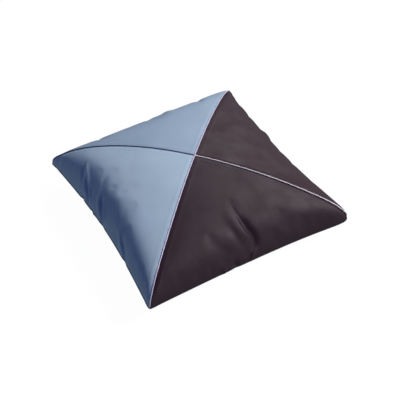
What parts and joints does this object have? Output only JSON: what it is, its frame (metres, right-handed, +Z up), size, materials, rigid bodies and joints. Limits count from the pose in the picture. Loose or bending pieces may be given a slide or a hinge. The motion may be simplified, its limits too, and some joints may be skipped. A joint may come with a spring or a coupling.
{
  "type": "throw cushion",
  "caption": "Square knife-edged throw cushion, plump crown and drawn-in sides, front of colour-blocked triangles with corded piping in the seams; softens a seat or leans behind the back",
  "frame": {"origin": "On the surface that the cushion rests on, under the centre of its outline", "axes": "+Z up through the crown of the front, out of the face; +X and +Y along two sides of the square"},
  "size_m": [0.4807, 0.4822, 0.1581],
  "materials": {
    "back_cloth": "plain smooth woven cloth, dark brown, matt",
    "dark_cloth": "smooth closely woven cloth, dark brown, soft lustre",
    "blue_cloth": "smooth closely woven cloth, blue-grey, soft lustre",
    "lilac_cord": "fine cloth-covered cord, pale lilac",
    "pink_cord": "fine cloth-covered cord, pale pink",
    "navy_cord": "fine cloth-covered cord, navy"
  },
  "bodies": {
    "root": {"cushion_body": "back_cloth", "panel_dark_side": "dark_cloth", "panel_blue_rear": "blue_cloth", "panel_blue_side": "blue_cloth", "panel_dark_front": "dark_cloth", "piping_lilac": "lilac_cord", "piping_pink": "pink_cord", "piping_navy": "navy_cord"}
  },
  "joints": []
}
